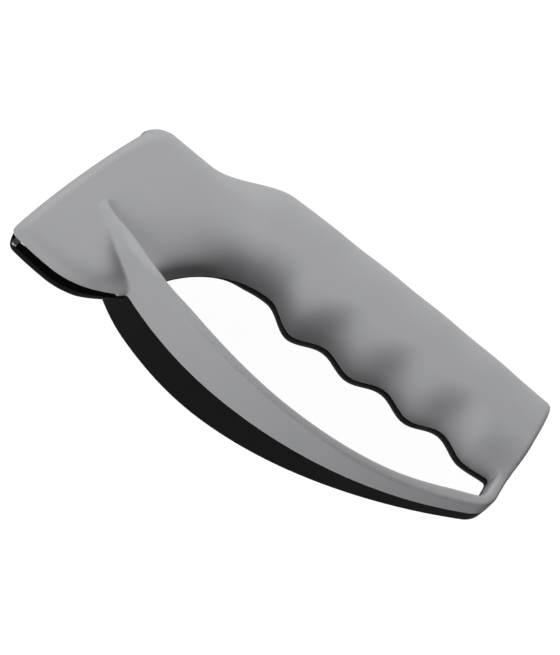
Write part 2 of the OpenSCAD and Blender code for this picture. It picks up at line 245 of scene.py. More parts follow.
def outer_line():
    """Up the front of the head, round its corner and along the back."""
    corner_end = HEAD_CORNER_Y + HEAD_CORNER * math.sin(HEAD_CORNER_ANGLE)
    front = [(front_x(y), y) for y in np.linspace(FRONT_FROM, corner_end, FRONT_POINTS)]
    turns = np.linspace(HEAD_CORNER_ANGLE, math.pi / 2, CORNER_POINTS)[1:-1]
    corner = [(HEAD_CORNER_X + HEAD_CORNER * math.cos(a),
               HEAD_CORNER_Y + HEAD_CORNER * math.sin(a)) for a in turns]
    back = [(x, float(back_y(x))) for x in np.arange(HEAD_CORNER_X, LINES_TO, BACK_STEP)]
    return Line(front + corner + back, -1)


def opening_line():
    """From the root of the guard round the front of the opening."""
    start = np.array([LIP_END, lip_y(LIP_END)])
    first = np.array([INDEX_PLACE - OPENING_RUN, OPENING_Y])
    shares = np.linspace(ROOT_SHARE_FROM, 1, ROOT_POINTS)[:-1]
    root = [start + (first - start) * t for t in shares]
    round_end = [(INDEX_PLACE + OPENING_RUN * math.cos(a),
                  OPENING_Y + OPENING_RISE * abs(math.sin(a)) ** OPENING_POWER)
                 for a in np.linspace(math.pi, math.pi / 2, ARC_POINTS)]
    onwards = [(x, float(groove_y(x)))
               for x in np.arange(INDEX_PLACE + GROOVE_STEP, LINES_TO, GROOVE_STEP)]
    return Line([*root, *round_end, *onwards], 1)


def lip_line():
    """Along the lips, and on past the guard."""
    lips = [(x, float(lip_y(x))) for x in np.arange(LIPS_FROM, LIP_END, LIP_STEP)]
    past = [(x, float(lip_y(LIP_END))) for x in np.arange(LIP_END, LIPS_TO, PAST_LIP_STEP)]
    return Line(lips + past, 1)


OUTER_LINE, OPENING_LINE, LIP_LINE = outer_line(), opening_line(), lip_line()


def guard_depth(x, y):
    """How far inside the guard's outer face points lie: two arcs, a corner and the butt's line."""
    front = GUARD_FRONT - np.hypot(x - GUARD_LOW, y - GUARD_GAP - GUARD_FRONT)
    rear = GUARD_REAR - np.hypot(x - GUARD_LOW, y - GUARD_GAP - GUARD_REAR)
    corner = GUARD_CORNER - np.hypot(x - CORNER_X, y - CORNER_Y)
    turn = np.arctan2(x - GUARD_LOW, GUARD_GAP + GUARD_REAR - y)
    turned_by = np.arctan2(x - CORNER_X, CORNER_Y - y) % (2 * np.pi)
    past_arc = np.where(turned_by < np.pi / 2 + BUTT_ANGLE, corner, butt_depth(x, y))
    behind = np.where(turn < CORNER_ANGLE, rear, past_arc)
    return np.where(x < GUARD_LOW, front, behind)


def butt_depth(x, y):
    return (REACH - x) * math.cos(BUTT_ANGLE) - (y - CORNER_Y) * math.sin(BUTT_ANGLE)


def plan_of(x, y):
    """What the form needs to know of places in the joint plane."""
    ahead = x < INDEX_PLACE
    outer, opening = back_y(x) - y, y - groove_y(x)
    outer[ahead] = OUTER_LINE.depth(x[ahead], y[ahead])
    opening[ahead] = OPENING_LINE.depth(x[ahead], y[ahead])
    lip = y - lip_y(LIP_END)
    near = x < LIP_END + LIP_BEYOND
    lip[near] = LIP_LINE.depth(x[near], y[near])
    turn = np.degrees(np.arctan2(y - FAN_Y, INDEX_PLACE - x)) % 360
    turn = np.where(turn > 270, turn - 360, turn)
    hand = mix(ROOT_POWER, INDEX_POWER, eased(x, ROOT_POWER_END, INDEX_POWER_BY))
    hand = mix(hand, HAND_POWER, eased(x, INDEX_PLACE, HAND_POWER_BY))
    return {"x": x, "y": y, "outer": outer, "opening": opening, "lip": lip,
            "butt": butt_depth(x, y), "guard": guard_depth(x, y),
            "swell": eased(turn, SWELL_FROM, SWELL_TO),
            "rooted": eased(turn, ROOT_FROM, SWELL_FROM),
            "nose": NOSE_ROUND, "fin": FIN_POWER, "hand": hand}


def fin_sink(x):
    return FIN_SINK * eased(x, SINK_FROM, SINK_BY)


def head_half(plan):
    """The half height of the head, whose face sinks towards the foot of the fin."""
    run = np.where(plan["guard"] < 0, SINK_RUN, ROOT_WALL)
    return HEAD_HALF - fin_sink(plan["x"]) * (1 - ease(abs(plan["guard"]) / run))


def body_distance(plan, z):
    """The head and the grip, rounded across by a power that changes along them."""
    half_width = (plan["outer"] + plan["opening"]) / 2
    lip_side = mix(LIP_HALF, LIP_END_HALF, np.clip(plan["x"] / LIP_END, 0, 1))
    side = mix(lip_side, head_half(plan), rounding(plan["lip"] / LIP_ROUND))
    side = mix(side, GRIP_HALF, plan["swell"])
    outer_r = mix(HEAD_ROUND, half_width, plan["swell"])
    inner_r = mix(mix(ROOT_ROUND, NECK_ROUND, plan["rooted"]), GRIP_ROUND, plan["swell"])
    power = np.where(plan["opening"] < plan["outer"], plan["hand"], SECTION_POWER)
    total, slope = 0, 0
    for share, size in ((abs(z) / side, side), (above(1 - plan["outer"] / outer_r), outer_r),
                        (above(1 - plan["opening"] / inner_r), inner_r)):
        total = total + share ** power
        slope = slope + (share ** (power - 1) / size) ** 2
    level = total ** (1 / power)
    body = (level - 1) * (level ** (power - 1) + TINY) / (np.sqrt(slope) + TINY / side)
    nose = plan["nose"]
    corner = np.hypot(above(nose - plan["outer"]), above(nose - plan["lip"])) - nose
    edge = mix(LIP_EDGE, LIP_END_EDGE, eased(plan["x"], LIP_EDGE_FROM, LIP_EDGE_BY))
    body = cut_by(cut_by(body, -plan["lip"], edge), corner, LIP_EDGE)
    return cut_by(body, -plan["butt"], RIM)


def guard_wall(x, at_butt):
    """How thick the guard is along its way from the fin's tip to the butt."""
    thick = mix(FIN_TIP_WALL, FIN_WALL, eased(x, FIN_TIP, FIN_WALL_BY))
    thick = mix(thick, ROOT_WALL, eased(x, FIN_WALL_BY, ROOT_WALL_BY))
    thick = mix(thick, FULL_WALL, eased(x, FIN_ROOT, GUARD_WIDE))
    thick = mix(thick, GUARD_WALL, eased(x, GUARD_WIDE, GUARD_WALL_BY))
    thick = mix(thick, END_WALL, eased(x, END_WALL_FROM, END_WALL_BY))
    return mix(thick, BUTT_WALL, at_butt)


def guard_distance(plan, z):
    """The guard with the fin in front of it."""
    x, z = plan["x"], abs(z)
    along = np.clip((x - FIN_TIP) / (FIN_ROOT - FIN_TIP), 0, 1)
    narrow = np.clip((x - GUARD_WIDE) / (GUARD_NARROW - GUARD_WIDE), 0, 1)
    side = np.where(x < FIN_ROOT, mix(FIN_HIGH, GUARD_HALF, ease(along ** plan["fin"])),
                    mix(GUARD_END_HALF, GUARD_HALF, np.cos(np.pi / 2 * narrow) ** GUARD_TAPER))
    at_butt = ease((plan["y"] - CORNER_Y + GUARD_CORNER) / GUARD_CORNER)
    draft = mix(GUARD_DRAFT, BUTT_DRAFT, at_butt)
    past_end = np.where(x < INDEX_PLACE, -1, plan["y"] - GROOVE_TOP - GUARD_WALL)
    ends = np.maximum(FIN_TIP - x, past_end)
    lean = FIN_LEAN * (1 - eased(x, FIN_TIP, FIN_LEAN_END))
    edge = mix(FIN_EDGE, GUARD_EDGE, eased(x, FIN_TIP, FIN_ROOT))
    outside = GUARD_DRAFT * z + lean * above(z - HEAD_HALF + fin_sink(x)) - plan["guard"]
    across = np.maximum(outside / np.sqrt(1 + lean ** 2),
                        plan["guard"] - guard_wall(x, at_butt) + draft * z)
    across = cut_by(across, ends, FIN_END) + edge
    high = z - side + edge
    past = np.hypot(above(across), above(high))
    return past + np.minimum(np.maximum(across, high), 0) - edge


def shell_distance(plan, z):
    blend = mix(FIN_BLEND, ROOT_BLEND, eased(plan["x"], ROOT_BLEND_FROM, ROOT_BLEND_BY))
    blend = mix(blend, GRIP_BLEND, eased(plan["x"], GRIP_BLEND_FROM, GRIP_BLEND_BY))
    joined = blend_in(body_distance(plan, z), guard_distance(plan, z), blend)
    return cut_by(joined, -plan["butt"], BUTT_EDGE)


def black_distance(plan, z):
    """The black half, which has a rounder nose and grip and a fuller fin."""
    own = {"nose": BLACK_NOSE_ROUND, "fin": BLACK_FIN_POWER, "hand": BLACK_POWER}
    return shell_distance({**plan, **own}, z)


def hollow_distance(plan, z):
    foot = HOLLOW_FOOT - plan["y"] - (plan["x"] - LIP_END) / HOLLOW_FALL
    butt = GUARD_WALL + WALL - plan["butt"]
    body = body_distance(plan, z) + WALL
    return cut_by(cut_by(body, foot, HOLLOW_FOOT_ROUND), butt, HOLLOW_END_ROUND)


# The nets, which turn a distance into a mesh: their cells, rounds of work and steps

CELL = 0.46
INSIDE_CELL, NECK_CELL_SHARE, LAYER_SHARE = 1.6, 0.8, 0.9
SHELL_ROUNDS, INSIDE_ROUNDS, FIRST_ROUNDS = 4, 3, 2
SLOPE_STEP, LONGEST_MOVE, SMALLEST_MOVE, EVEN_SHARE = 0.02, 0.4, 1e-9, 0.6


def far_net(distance, xs, ys, zs):
    """The half of a form at z > 0 as quads, one vertex in each cell that its surface crosses.
    The first layer of cells is centred on z = 0, so that its vertices lie on the joint plane."""
    gx, gy = np.meshgrid(xs, ys, indexing="ij")
    plan = plan_of(gx.ravel(), gy.ravel())
    flat = np.stack([distance(plan, np.full(gx.size, z)) for z in zs], 1)
    values = flat.reshape(len(xs), len(ys), len(zs))
    inside = values < 0
    sizes = [n - 1 for n in values.shape]
    corners = list(product((0, 1), repeat=3))
    count = sum(inside[tuple(slice(s, s + n) for s, n in zip(corner, sizes))].astype(np.int8)
                for corner in corners)
    cells = np.argwhere((count > 0) & (count < len(corners)))
    number = np.full(sizes, -1)
    number[tuple(cells.T)] = np.arange(len(cells))
    share = crossing_share(values, cells, corners)
    points = np.stack([np.interp(cells[:, k] + share[:, k], np.arange(len(c)), c)
                       for k, c in enumerate((xs, ys, zs))], 1)
    return points, np.concatenate(list(net_quads(inside, number))), cells[:, 2] == 0


def crossing_share(values, cells, corners):
    """Where in each cell the surface crosses its edges on average, in shares of the cell."""
    total, hits = np.zeros((len(cells), 3)), np.zeros(len(cells))
    for corner in corners:
        for axis in range(3):
            if corner[axis]:
                continue
            other = tuple(c + (k == axis) for k, c in enumerate(corner))
            a = values[tuple((cells + corner).T)]
            b = values[tuple((cells + other).T)]
            crossed = (a < 0) != (b < 0)
            t = np.where(crossed, a / np.where(crossed, a - b, 1), 0)
            place = np.array(corner, float) + t[:, None] * (np.arange(3) == axis)
            total += place * crossed[:, None]
            hits += crossed
    return total / hits[:, None]


def net_quads(inside, number):
    """A quad round each edge of the grid that the surface crosses, its face outwards."""
    for axis in range(3):
        u, v = [k for k in range(3) if k != axis]
        low, high = [slice(None)] * 3, [slice(None)] * 3
        low[axis], high[axis] = slice(0, -1), slice(1, None)
        a, b = inside[tuple(low)], inside[tuple(high)]
        for leaves in (True, False):
            edges = np.argwhere((a != b) & (a == leaves))
            edges = edges[(edges[:, u] > 0) & (edges[:, v] > 0)]
            ring = []
            for du, dv in ((-1, -1), (0, -1), (0, 0), (-1, 0)):
                cell = edges.copy()
                cell[:, u] += du
                cell[:, v] += dv
                ring.append(number[tuple(cell.T)])
            quad = np.stack(ring, 1)
            yield quad if leaves == (axis != 1) else quad[:, ::-1]


def settle(distance, points, on_joint, rounds):
    """Moves points onto the surface, along its slope."""
    for _ in range(rounds):
        x, y, z = points.T
        plan = plan_of(x, y)
        here = distance(plan, z)
        slope = np.stack([distance(plan_of(x + SLOPE_STEP, y), z),
                          distance(plan_of(x, y + SLOPE_STEP), z),
                          distance(plan, z + SLOPE_STEP)], 1)
        slope = (slope - here[:, None]) / SLOPE_STEP
        slope[on_joint, 2] = 0
        move = slope * (here / ((slope ** 2).sum(1) + TINY))[:, None]
        size = np.linalg.norm(move, axis=1)[:, None]
        points = points - move * np.minimum(1, LONGEST_MOVE / np.maximum(size, SMALLEST_MOVE))
        points[on_joint, 2] = 0
    return points


def evened(distance, points, quads, on_joint, rounds):
    """Spreads the points evenly over the surface. Those on the joint only heed each other."""
    pairs = np.concatenate([quads[:, [k, (k + 1) % 4]] for k in range(4)])
    pairs = np.unique(np.sort(pairs, axis=1), axis=0)
    both = np.concatenate([pairs, pairs[:, ::-1]])
    both = both[~on_joint[both[:, 0]] | on_joint[both[:, 1]]]
    amount = np.bincount(both[:, 0], minlength=len(points))
    for _ in range(rounds):
        mean = np.stack([np.bincount(both[:, 0], points[both[:, 1], k], len(points))
                         for k in range(3)], 1) / amount[:, None]
        points = settle(distance, mix(points, mean, EVEN_SHARE), on_joint, 1)
    return points


# Meshes are made in millimetres and brought to metres at the end

def net_mesh(name, distance, cell, rounds, foot):
    """A closed half of a form above the joint plane. foot does what its edge there needs."""
    room = 2 * cell
    xs = np.concatenate([np.arange(-NOSE_AHEAD - room, NECK_END, cell * NECK_CELL_SHARE),
                         np.arange(NECK_END, REACH + room, cell)])
    ys = np.arange(-LIP_DROP - room, BACK_HEIGHT + room, cell)
    layer = cell * LAYER_SHARE
    zs = np.arange(-layer / 2, GUARD_HALF + room, layer)
    points, quads, on_joint = far_net(distance, xs, ys, zs)
    points[on_joint, 2] = 0
    points = settle(distance, points, on_joint, FIRST_ROUNDS)
    points = evened(distance, points, quads, on_joint, rounds)
    mesh = bpy.data.meshes.new(name)
    mesh.from_pydata(points.tolist(), [], quads.tolist())
    bm = bmesh.new()
    bm.from_mesh(mesh)
    foot(bm)
    close_foot(bm)
    bmesh.ops.recalc_face_normals(bm, faces=bm.faces)
    bm.to_mesh(mesh)
    bm.free()
    return mesh


def within(starts, ends, places):
    """Which places lie inside the lines from starts to ends: those with an odd count past them."""
    x, y = (places[:, [k]] for k in (0, 1))
    crossed = (starts[:, 1] > y) != (ends[:, 1] > y)
    rise = np.where(ends[:, 1] == starts[:, 1], 1, ends[:, 1] - starts[:, 1])
    at = starts[:, 0] + (y - starts[:, 1]) * (ends[:, 0] - starts[:, 0]) / rise
    return (crossed & (x < at)).sum(1) % 2 == 1


def close_foot(bm):
    """Closes the open foot with the triangles that lie within its rim."""
    bm.verts.ensure_lookup_table()
    rim = [v for v in bm.verts if v.is_boundary]
    number = {v: k for k, v in enumerate(rim)}
    edges = [[number[v] for v in e.verts] for e in bm.edges if e.is_boundary]
    spots = [v.co.to_2d() for v in rim]
    found = delaunay_2d_cdt(spots, edges, [], 0, 1e-6)
    places, corners, origins = found[0], np.array(found[2]), found[3]
    middles = np.array([tuple(spot) for spot in places])[corners].mean(1)
    starts, ends = (np.array([tuple(spots[k]) for k in side]) for side in zip(*edges))
    for face in corners[within(starts, ends, middles)]:
        bm.faces.new([rim[origins[k][0]] for k in face])


def seam(bm):
    """Sets the edge at the joint in, so that the two shells meet in a fine line."""
    everything = [*bm.verts, *bm.edges, *bm.faces]
    bmesh.ops.bisect_plane(bm, geom=everything, plane_co=(0, 0, SEAM_HIGH), plane_no=(0, 0, 1))
    bm.normal_update()
    for edge_point in [v for v in bm.verts if v.is_boundary]:
        inward = -edge_point.normal
        inward.z = 0
        edge_point.co += inward.normalized() * SEAM_DEEP


def below(bm):
    """Brings the edge at the joint past it, as a tool that cuts through needs."""
    for v in bm.verts:
        if v.is_boundary:
            v.co.z = -OVERRUN


def solid(make):
    """A mesh from a function that fills a bmesh."""
    bm = bmesh.new()
    make(bm)
    bmesh.ops.recalc_face_normals(bm, faces=bm.faces)
    mesh = bpy.data.meshes.new("solid")
    bm.to_mesh(mesh)
    bm.free()
    return mesh


def rods(places, radius, low, high):
    """Upright rods at the places, from low to high."""
    def make(bm):
        for x, y in places:
            at = Matrix.Translation((x, y, (low + high) / 2))
            bmesh.ops.create_cone(bm, cap_ends=True, segments=48, radius1=radius, radius2=radius,
                                  depth=high - low, matrix=at)
    return solid(make)


def block(low, high, turn=Matrix()):
    """A box between two corners, then turned."""
    middle = [(a + b) / 2 for a, b in zip(low, high)]
    size = [b - a for a, b in zip(low, high)]
    matrix = turn @ Matrix.Translation(middle) @ Matrix.Diagonal((*size, 1))
    return solid(lambda bm: bmesh.ops.create_cube(bm, size=1, matrix=matrix))


def slot_wedge():
    """The groove between the lips, as a prism with a narrow floor."""
    deep = SLOT_DEPTH + LIP_DROP + OVERRUN
    mouth = mix(SLOT_FLOOR, SLOT_MOUTH, deep / (SLOT_DEPTH + LIP_DROP))
    section = [(SLOT_DEPTH, -SLOT_FLOOR), (SLOT_DEPTH, SLOT_FLOOR), (SLOT_DEPTH - deep, mouth),
               (SLOT_DEPTH - deep, -mouth)]

    def make(bm):
        ends = [[bm.verts.new((x, y, z)) for y, z in section]
                for x in (-NOSE_AHEAD - OVERRUN, LIP_END)]
        for end in ends:
            bm.faces.new(end)
        for k in range(4):
            bm.faces.new([ends[0][k], ends[0][k - 1], ends[1][k - 1], ends[1][k]])
    return solid(make)


def cutter_bar(side, gap):
    """side is 1 for the rear bar and -1 for the front one, whose lip end lies below the joint."""
    x = side * (CUTTER_THICK + CUTTER_GAP) / 2
    half = CUTTER_THICK / 2 + gap
    turn = Matrix.Diagonal((1, 1, side, 1)) @ Matrix.Rotation(-math.radians(NOTCH_ANGLE), 4, "X")
    out = REAR_OUT if side > 0 else FRONT_OUT
    low = (x - half, -out - gap, -gap)
    high = (x + half, CUTTER_LEN - out + gap, CUTTER_WID + gap)
    return block(low, high, turn)


def holder_block(gap):
    return block((HOLDER_X - gap, HOLDER_FOOT - gap, -HOLDER_HALF - gap),
                 (HOLDER_X + HOLDER_LEN + gap, HOLDER_FOOT + HOLDER_HIGH + gap, HOLDER_HALF + gap))


def placed(name, data):
    """A new object in the scene."""
    made = bpy.data.objects.new(name, data)
    scene.collection.objects.link(made)
    return made


def plain_mesh(thing):
    """A mesh of an object as its modifiers leave it."""
    evaluated = thing.evaluated_get(bpy.context.evaluated_depsgraph_get())
    return bpy.data.meshes.new_from_object(evaluated)


def discard(*things):
    for thing in things:
        mesh = thing.data
        bpy.data.objects.remove(thing)
        bpy.data.meshes.remove(mesh)


def carved(mesh, *tools):
    """A mesh less the tools. All of them are used up."""
    work = placed("work", mesh)
    cutters = [placed("tool", tool) for tool in tools]
    for cutter in cutters:
        cut = work.modifiers.new("cut", "BOOLEAN")
        cut.operation, cut.solver, cut.object = "DIFFERENCE", "MANIFOLD", cutter
    result = plain_mesh(work)
    discard(work, *cutters)
    return result


def bevelled(mesh, size):
    bm = bmesh.new()
    bm.from_mesh(mesh)
    bmesh.ops.bevel(bm, geom=bm.edges[:], offset=size, segments=2, affect="EDGES")
    bm.to_mesh(mesh)
    bm.free()
    return mesh


def smooth_but_for(mesh, degrees):
    """Smooth shading, apart from edges sharper than that angle."""
    mesh.shade_smooth()
    mesh.set_sharp_from_angle(angle=math.radians(degrees))
    return mesh


def piece(name, mesh, material, node):
    """A finished piece of the object, from a mesh in millimetres, in place of its CAD node."""
    mesh.transform(Matrix.Scale(MM, 4))
    mesh.name = name
    mesh.materials.clear()
    mesh.materials.append(material)
    made = placed(name, mesh)
    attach(made, "root")
    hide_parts(node)


# Node trees, for finishes and for pieces that repeat

class Number:
    """A socket that Python's operators work on by adding Math nodes."""

    def __init__(self, nodes, socket):
        self.nodes, self.socket = nodes, socket

    def math(self, operation, *values):
        settings, inputs = {"operation": operation}, dict(enumerate(values))
        return self.nodes.node("ShaderNodeMath", settings, inputs)

    def __add__(self, other):
        return self.math("ADD", self, other)

    def __radd__(self, other):
        return self.math("ADD", other, self)

    def __sub__(self, other):
        return self.math("SUBTRACT", self, other)

    def __rsub__(self, other):
        return self.math("SUBTRACT", other, self)

    def __mul__(self, other):
        return self.math("MULTIPLY", self, other)

    def __rmul__(self, other):
        return self.math("MULTIPLY", other, self)

    def __truediv__(self, other):
        return self.math("DIVIDE", self, other)

    def __rtruediv__(self, other):
        return self.math("DIVIDE", other, self)

    def __pow__(self, other):
        return self.math("POWER", self, other)

    def __rpow__(self, other):
        return self.math("POWER", other, self)

    def __abs__(self):
        return self.math("ABSOLUTE", self)

    def fraction(self):
        return self.math("FRACT", self)

    def least(self, other):
        return self.math("MINIMUM", self, other)

    def most(self, other):
        return self.math("MAXIMUM", self, other)


class Nodes:
    """Adds nodes to a tree: a node's type, its settings, then the values or links of its inputs.
    A list holds several links for one input."""

    def __init__(self, tree):
        self.tree = tree
        tree.nodes.clear()

    def node(self, kind, settings=None, inputs=None, output=0):
        made = self.tree.nodes.new(kind)
        for name, value in (settings or {}).items():
            setattr(made, name, value)
        for key, value in (inputs or {}).items():
            links = value if isinstance(value, list) else [value]
            for each in links:
                if isinstance(each, Number):
                    self.tree.links.new(each.socket, made.inputs[key])
                else:
                    made.inputs[key].default_value = each
        return Number(self, made.outputs[output]) if made.outputs else made

    def outputs(self, number):
        """All outputs of the node that a number comes from."""
        return [Number(self, socket) for socket in number.socket.node.outputs]

    def mixed(self, share, a, b):
        """A colour between two others."""
        settings, inputs = {"data_type": "RGBA"}, {0: share, 6: (*a, 1), 7: (*b, 1)}
        return self.node("ShaderNodeMix", settings, inputs, output=2)

    def parts(self, vector):
        return self.outputs(self.node("ShaderNodeSeparateXYZ", {}, {0: vector}))

    def joined(self, x, y, z):
        return self.node("ShaderNodeCombineXYZ", {}, {0: x, 1: y, 2: z})

    def noise(self, place, size_mm, detail=2, rough=0.5):
        return self.node("ShaderNodeTexNoise", {}, {
            "Vector": place, "Scale": 1 / (size_mm * MM), "Detail": detail, "Roughness": rough})

    def bumps(self, height, deep_mm, strength):
        return self.node("ShaderNodeBump", {}, {
            "Height": height, "Strength": strength, "Distance": deep_mm * MM})


# Sizes of the finishes' patterns in millimetres, and how much each of them counts
CLOUD, SPECK, SHEEN, SINK = 14, 0.45, 5, 9
CLOUD_SHARE, SPECK_SHARE, SHEEN_RANGE = 0.7, 0.3, 0.12
GRAIN_SHARE, GRAIN_ROUGH, MOULD_DEEP, MOULD_STRENGTH = 0.06, 0.6, 0.15, 0.5
LINE_STRETCH, BAND_LINES, STREAK_LINES, STREAK_RANGE = 0.06, 6, 3, 0.2
LINE_DEEP, LINE_STRENGTH = 0.01, 0.4


def finish(name, colour, rough, normal, metal=0, specular=0.5):
    """A material. colour, rough and normal are functions of the nodes and the place."""
    made = bpy.data.materials.new(name)
    made.use_nodes = True
    nodes = Nodes(made.node_tree)
    place = nodes.node("ShaderNodeTexCoord", output="Object")
    shader = nodes.node("ShaderNodeBsdfPrincipled", {}, {
        "Base Color": colour(nodes, place), "Roughness": rough(nodes, place),
        "Metallic": metal, "Specular IOR Level": specular, "Normal": normal(nodes, place)})
    nodes.node("ShaderNodeOutputMaterial", {}, {"Surface": shader})
    return made


def moulded(name, dark, light, rough, specular, grain_mm):
    """Moulded plastic with a fine spark-eroded grain and faint flow clouds."""
    def colour(nodes, place):
        clouds = nodes.noise(place, CLOUD, detail=3)
        specks = nodes.noise(place, SPECK, detail=1)
        return nodes.mixed(clouds * CLOUD_SHARE + specks * SPECK_SHARE, dark, light)

    def roughness(nodes, place):
        return rough + (nodes.noise(place, SHEEN) - 0.5) * SHEEN_RANGE

    def normal(nodes, place):
        grain = nodes.noise(place, grain_mm, detail=3, rough=GRAIN_ROUGH)
        sink = nodes.noise(place, SINK, detail=1)
        return nodes.bumps(grain * GRAIN_SHARE + sink, MOULD_DEEP, MOULD_STRENGTH)

    return finish(name, colour, roughness, normal, specular=specular)


def ground(name, dark, light, rough, line_mm):
    """Metal with fine grinding lines along X."""
    def lines(nodes, place, size_mm):
        drawn_out = nodes.node("ShaderNodeMapping", {}, {
            "Vector": place, "Scale": (LINE_STRETCH, 1, 1)})
        return nodes.noise(drawn_out, size_mm)

    def colour(nodes, place):
        return nodes.mixed(lines(nodes, place, line_mm * BAND_LINES), dark, light)

    def roughness(nodes, place):
        return rough + (lines(nodes, place, line_mm * STREAK_LINES) - 0.5) * STREAK_RANGE

    def normal(nodes, place):
        return nodes.bumps(lines(nodes, place, line_mm), LINE_DEEP, LINE_STRENGTH)

    return finish(name, colour, roughness, normal, metal=1)


grey_plastic = moulded("grey_plastic", (0.335, 0.338, 0.35), (0.365, 0.366, 0.375),
                       rough=0.6, specular=0.15, grain_mm=0.35)
black_plastic = moulded("black_plastic", (0.0033, 0.0035, 0.0034), (0.0054, 0.0057, 0.0056),
                        rough=0.55, specular=0.012, grain_mm=0.3)
holder_plastic = moulded("holder_plastic", (0.018, 0.018, 0.02), (0.026, 0.026, 0.028),
                         rough=0.45, specular=0.4, grain_mm=0.3)
carbide = ground("carbide", (0.36, 0.37, 0.39), (0.48, 0.49, 0.5), rough=0.34, line_mm=0.08)
zinc_steel = ground("zinc_steel", (0.5, 0.52, 0.56), (0.64, 0.65, 0.66), rough=0.3, line_mm=0.12)


# The two shells

grey_half = net_mesh("grey_half", shell_distance, CELL, SHELL_ROUNDS, seam)
black_half = net_mesh("black_half", black_distance, CELL, SHELL_ROUNDS, seam)
inside_half = net_mesh("inside_half", hollow_distance, INSIDE_CELL, INSIDE_ROUNDS, below)


def mirrored(mesh):
    """A copy of a mesh on the other side of the joint."""
    copy = mesh.copy()
    copy.transform(Matrix.Diagonal((1, 1, -1, 1)))
    copy.flip_normals()
    return copy


def nose_cuts():
    """What both shells leave free at the nose: the blade's slot and the cartridge's seat."""
    return [slot_wedge(), holder_block(FIT_GAP), cutter_bar(-1, FIT_GAP), cutter_bar(1, FIT_GAP),
            rods(PIN_PLACES, PIN_R, -PIN_HALF, PIN_HALF)]


def shell(body, post_r, flip, *cuts):
    """A shell from its body: hollow round the screw posts, and with its cuts."""
    posts = rods(SCREW_PLACES, post_r, -2 * OVERRUN, GRIP_HALF + OVERRUN)
    room = carved(inside_half.copy(), posts)
    if flip:
        room, body = mirrored(room), mirrored(body)
    return smooth_but_for(carved(body, room, *nose_cuts(), *cuts), SHARP)


pilot_holes = rods(SCREW_PLACES, SCREW_R, -OVERRUN, SCREW_LEN - SEAT_DEPTH + OVERRUN)
wells = rods(SCREW_PLACES, WELL_R, -GUARD_HALF - OVERRUN, -SEAT_DEPTH)
clear_holes = rods(SCREW_PLACES, SCREW_R + SCREW_GAP, -SEAT_DEPTH - OVERRUN, OVERRUN)
grey_mesh = shell(grey_half, BOSS_R, False, pilot_holes)
black_mesh = shell(black_half, WELL_R + BOSS_WALL, True, wells, clear_holes)
piece("grey_half_shell", grey_mesh, grey_plastic, "grey_shell")
piece("black_half_shell", black_mesh, black_plastic, "black_shell")


# The small pieces: the cutters in their holder, its pins, and the screws

pin_holes = rods(PIN_PLACES, PIN_R, -HOLDER_HALF - OVERRUN, HOLDER_HALF + OVERRUN)
holder = carved(bevelled(holder_block(0), HOLDER_BEVEL), slot_wedge(), cutter_bar(-1, 0),
                cutter_bar(1, 0), pin_holes)
piece("cutter_cartridge", smooth_but_for(holder, SHARP), holder_plastic,
      "cutter_holder")
for name, side, node in (("front_carbide", -1, "front_cutter"),
                         ("rear_carbide", 1, "rear_cutter")):
    bar = smooth_but_for(bevelled(cutter_bar(side, 0), CUTTER_BEVEL), SHARP)
    piece(name, bar, carbide, node)


def grown(name, places, build, material, sizes):
    """A plain mesh with a copy of what build makes at each place. sizes are the named inputs."""
    group = bpy.data.node_groups.new(name, "GeometryNodeTree")
    face, geometry, length = group.interface, "NodeSocketGeometry", "NodeSocketFloat"
    face.new_socket("Geometry", in_out="INPUT", socket_type=geometry)
    named = {label: face.new_socket(label, in_out="INPUT", socket_type=length) for label in sizes}
    face.new_socket("Geometry", in_out="OUTPUT", socket_type=geometry)
    nodes = Nodes(group)
    entries = nodes.outputs(nodes.node("NodeGroupInput"))
    given = {entry.socket.name: entry for entry in entries if entry.socket.name}
    turn = nodes.joined(0, 0, nodes.node("GeometryNodeInputIndex") * SCREW_TURN)
    copies = nodes.node("GeometryNodeInstanceOnPoints", {}, {
        "Points": given["Geometry"], "Instance": build(nodes, given), "Rotation": turn})
    real = nodes.node("GeometryNodeRealizeInstances", {}, {0: copies})
    painted = nodes.node("GeometryNodeSetMaterial", {}, {"Geometry": real, "Material": material})
    nodes.node("NodeGroupOutput", {}, {"Geometry": painted})
    spots = bpy.data.meshes.new(name)
    spots.from_pydata(places, [], [])
    host = placed(name, spots)
    growth = host.modifiers.new(name, "NODES")
    growth.node_group = group
    for label, value in sizes.items():
        growth[named[label].identifier] = float(value)
    mesh = plain_mesh(host)
    discard(host)
    return smooth_but_for(mesh, SMALL_SHARP)


def turned(nodes, rows, low, high, radius):
    """A round solid whose radius is a function of its height and of the turn round it."""
    drum = nodes.node("GeometryNodeMeshCylinder", {}, {
        "Vertices": 40, "Side Segments": rows, "Radius": 1.0, "Depth": 1.0})
    x, y, z = nodes.parts(nodes.node("GeometryNodeInputPosition"))
    share = z + 0.5
    round_it = x.math("ARCTAN2", y, x) / (2 * math.pi)
    place = low + (high - low) * share
    wide = radius(place, round_it)
    return nodes.node("GeometryNodeSetPosition", {}, {
        "Geometry": drum, "Position": nodes.joined(x * wide, y * wide, place)})


def dowel_pin(nodes, given):
    """A pin whose ends are chamfered, its middle at height 0."""
    half = given["Length"] / 2

    def radius(place, _):
        end = (1 - (half - abs(place)) / given["Chamfer"]).most(0)
        return given["Radius"] - given["Chamfer"] * end * PIN_TAPER
    return turned(nodes, 70, 0 - half, half, radius)


